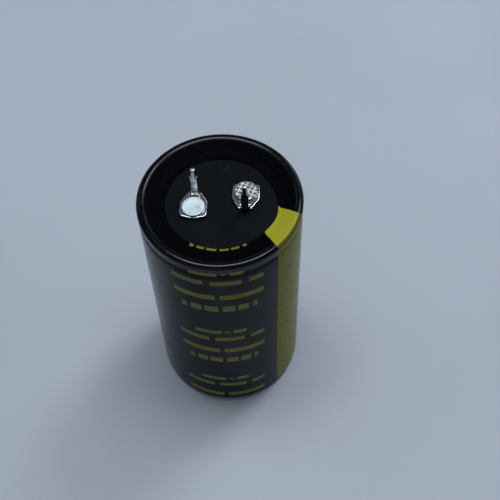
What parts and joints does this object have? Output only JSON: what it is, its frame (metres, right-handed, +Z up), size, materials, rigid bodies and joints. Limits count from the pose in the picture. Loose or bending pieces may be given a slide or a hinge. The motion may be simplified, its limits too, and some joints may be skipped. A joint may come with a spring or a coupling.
{
  "type": "snap-in electrolytic capacitor",
  "caption": "Upright cylindrical electrolytic capacitor in a black shrink sleeve, with snap-in pins on its sealed end.",
  "frame": {"origin": "centre of the base, on the flat ring of film that the can stands on", "axes": "+Z up the can's axis to the terminals, +X from the positive pin to the negative pin"},
  "size_m": [0.0308, 0.0308, 0.0618],
  "materials": {
    "sleeve_film": "glossy shrunk film with an olive stripe and print",
    "can_aluminium": "drawn, satin",
    "seal_rubber": "matte, smooth",
    "phenolic_board": "matte laminate",
    "tinned_terminal": "bright tin plate",
    "rivet_smooth": "matte, smooth head",
    "rivet_hatched": "satin, cross-hatched head",
    "inner_aluminium": "satin",
    "roll_paper": "soaked paper and foil edges",
    "roll_tape": "clear yellow tape"
  },
  "bodies": {
    "root": {"sleeve": "sleeve_film", "can": "can_aluminium", "rubber_facing": "seal_rubber", "phenolic_disc": "phenolic_board", "terminal_positive": "tinned_terminal", "terminal_negative": "tinned_terminal", "rivet_positive": "rivet_smooth", "rivet_negative": "rivet_hatched", "washer_positive": "inner_aluminium", "washer_negative": "inner_aluminium", "tab_positive": "inner_aluminium", "tab_negative": "inner_aluminium", "winding": "roll_paper", "winding_tape": "roll_tape"}
  },
  "joints": []
}
